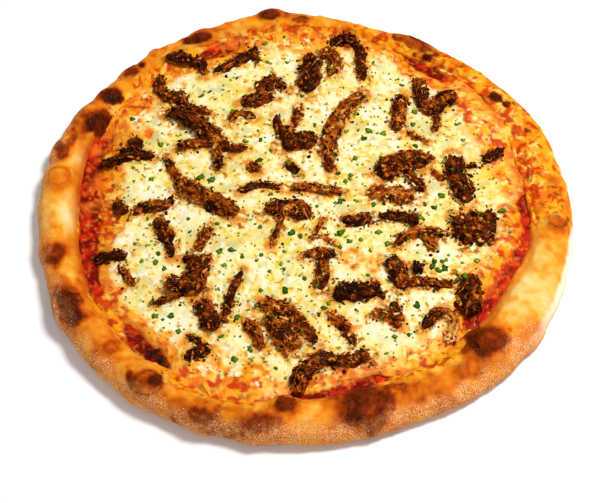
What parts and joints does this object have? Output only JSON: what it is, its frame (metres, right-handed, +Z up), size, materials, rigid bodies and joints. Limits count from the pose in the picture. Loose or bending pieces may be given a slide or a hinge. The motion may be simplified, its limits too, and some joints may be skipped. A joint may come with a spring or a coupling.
{
  "type": "jerk chicken pizza",
  "caption": "Whole round pizza: puffed blistered rim, tomato sauce, browned melted cheese, shredded jerk chicken and parsley flakes. Rests on its flat underside.",
  "frame": {"origin": "middle of the box around the pizza, on its flat underside", "axes": "+Z up through the toppings, +Y away from the camera of the picture, +X to its right"},
  "size_m": [0.3654, 0.3632, 0.0247],
  "materials": {
    "crust": "baked dough, golden with dark brown blisters and a floury foot",
    "sauce": "moist tomato sauce",
    "cheese": "melted cheese with browned spots, oil and chopped parsley",
    "chicken": "charred shredded meat"
  },
  "bodies": {
    "root": {"crust": "crust", "sauce": "sauce", "cheese": "cheese", "chicken_01": "chicken", "chicken_02": "chicken", "chicken_03": "chicken", "chicken_04": "chicken", "chicken_05": "chicken", "chicken_06": "chicken", "chicken_07": "chicken", "chicken_08": "chicken", "chicken_09": "chicken", "chicken_10": "chicken", "chicken_11": "chicken", "chicken_12": "chicken", "chicken_13": "chicken", "chicken_14": "chicken", "chicken_15": "chicken", "chicken_16": "chicken", "chicken_17": "chicken", "chicken_18": "chicken", "chicken_19": "chicken", "chicken_20": "chicken", "chicken_21": "chicken", "chicken_22": "chicken", "chicken_23": "chicken", "chicken_24": "chicken", "chicken_25": "chicken", "chicken_26": "chicken", "chicken_27": "chicken", "chicken_28": "chicken", "chicken_29": "chicken", "chicken_30": "chicken", "chicken_31": "chicken", "chicken_32": "chicken", "chicken_33": "chicken", "chicken_34": "chicken", "chicken_35": "chicken", "chicken_36": "chicken", "chicken_37": "chicken", "chicken_38": "chicken", "chicken_39": "chicken", "chicken_40": "chicken", "chicken_41": "chicken", "chicken_42": "chicken", "chicken_43": "chicken", "chicken_44": "chicken", "chicken_45": "chicken", "chicken_46": "chicken", "chicken_47": "chicken", "chicken_48": "chicken", "chicken_49": "chicken", "chicken_50": "chicken", "chicken_51": "chicken", "chicken_52": "chicken"}
  },
  "joints": []
}
